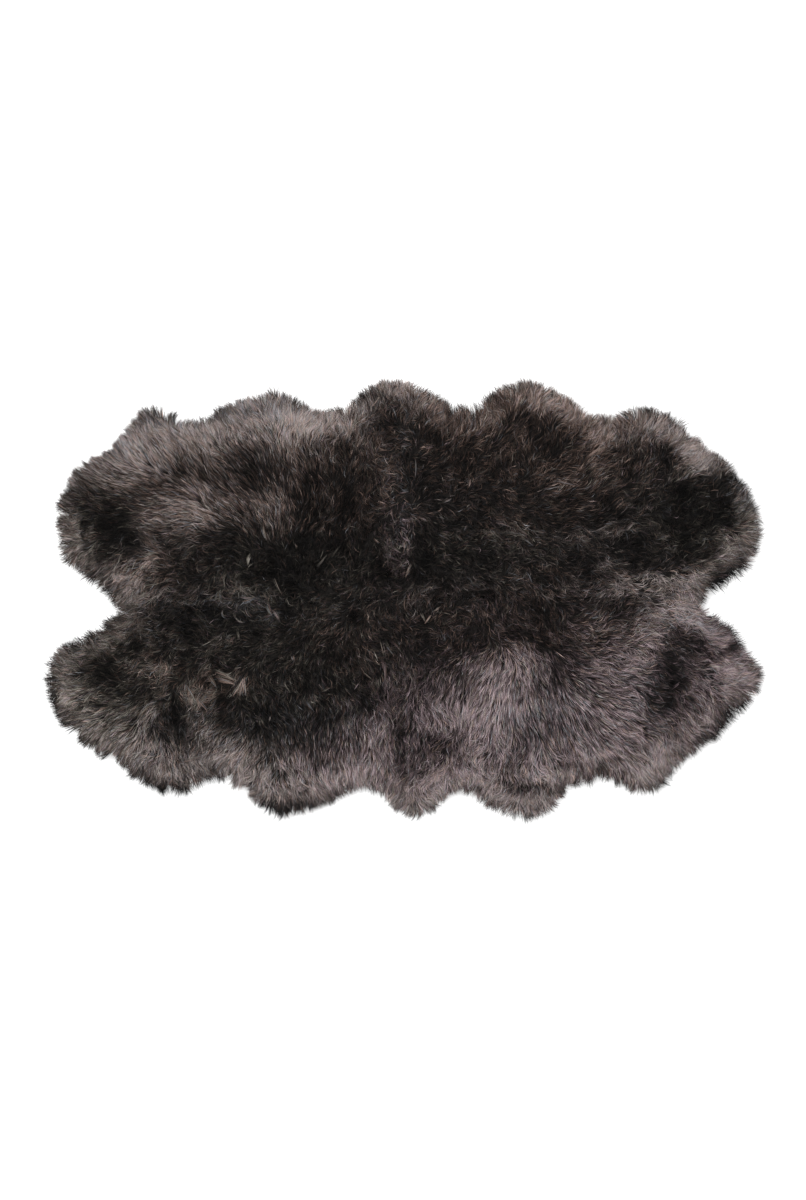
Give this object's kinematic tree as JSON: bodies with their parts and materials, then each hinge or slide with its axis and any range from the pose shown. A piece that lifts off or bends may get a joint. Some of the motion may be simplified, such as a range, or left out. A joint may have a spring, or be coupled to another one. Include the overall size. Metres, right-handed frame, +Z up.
{
  "type": "sheepskin rug",
  "caption": "Long-wool sheepskin rug of pelts sewn edge to edge in rows, lying flat on the floor, with a lobed outline and loose locks of wool round its rim.",
  "frame": {"origin": "on the floor, under the middle of the rug's box", "axes": "+X along the rug's long side, +Y towards its back row, +Z up out of the wool"},
  "size_m": [1.804, 1.1132, 0.0641],
  "materials": {
    "wool": "soft long wool, dyed near black with a brown cast",
    "hide": "dull suede of the skin's flesh side"
  },
  "bodies": {
    "root": {"pelt_back_left": "wool", "pelt_back_right": "wool", "pelt_front_right": "wool", "pelt_front_left": "wool"}
  },
  "joints": []
}
